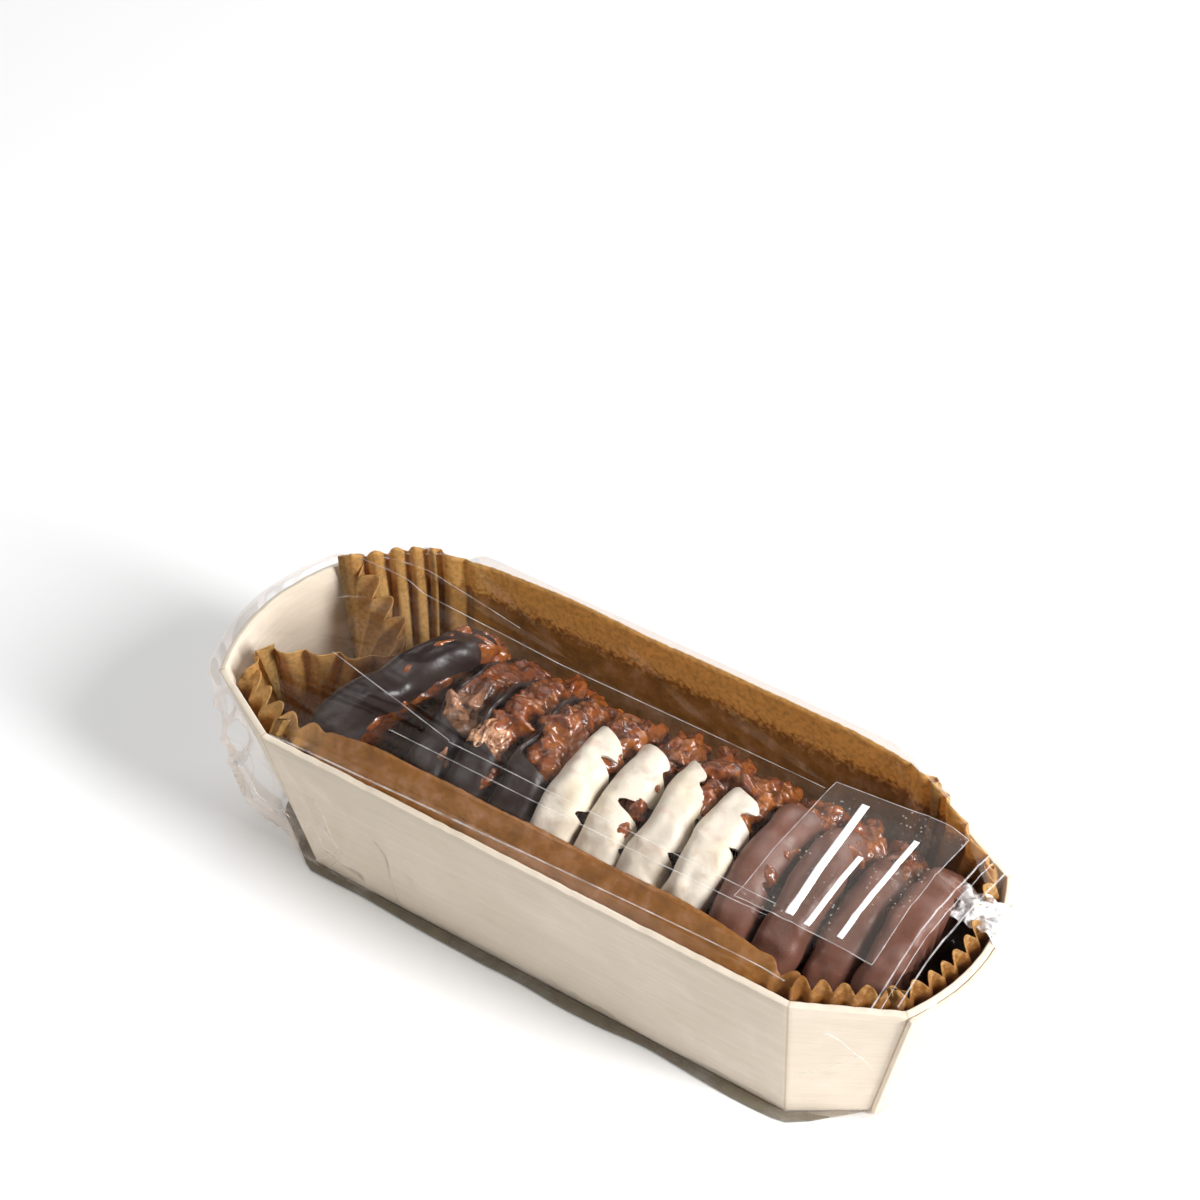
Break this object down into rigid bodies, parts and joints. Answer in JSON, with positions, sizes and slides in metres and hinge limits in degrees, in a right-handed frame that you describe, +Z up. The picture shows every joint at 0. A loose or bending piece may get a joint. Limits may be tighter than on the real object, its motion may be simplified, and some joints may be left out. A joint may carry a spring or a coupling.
{
  "type": "wrapped tray of florentines",
  "caption": "Clear-wrapped veneer baking tray of half-dipped chocolate florentines standing in a row in a fluted paper liner, with a clear label on the film.",
  "frame": {"origin": "centre of the pack's footprint at the underside of the film it rests on", "axes": "+X along the tray towards the labelled end, +Y across it towards the side where the liner stands up highest, +Z up"},
  "size_m": [0.2066, 0.073, 0.0649],
  "materials": {
    "veneer": "pale raw poplar veneer, matt, with fine straight grain",
    "liner_paper": "golden-brown baking paper, thin, slightly mottled and translucent",
    "dark_chocolate": "dark chocolate, soft gloss",
    "white_chocolate": "white chocolate, soft gloss",
    "milk_chocolate": "milk chocolate, soft gloss",
    "caramel_nut": "glossy caramel over chopped nuts",
    "clear_film": "thin clear wrapping film, high gloss, creased",
    "clear_label": "clear self-adhesive label with plain white bars"
  },
  "bodies": {
    "root": {"tray_wall": "veneer", "tray_board": "veneer", "paper_liner": "liner_paper", "florentine_dark_1": "dark_chocolate", "florentine_dark_2": "dark_chocolate", "florentine_dark_3": "dark_chocolate", "florentine_dark_4": "dark_chocolate", "florentine_white_1": "white_chocolate", "florentine_white_2": "white_chocolate", "florentine_white_3": "white_chocolate", "florentine_white_4": "white_chocolate", "florentine_milk_1": "milk_chocolate", "florentine_milk_2": "milk_chocolate", "florentine_milk_3": "milk_chocolate", "florentine_milk_4": "milk_chocolate", "film_wrap": "clear_film", "clear_label": "clear_label"}
  },
  "joints": []
}
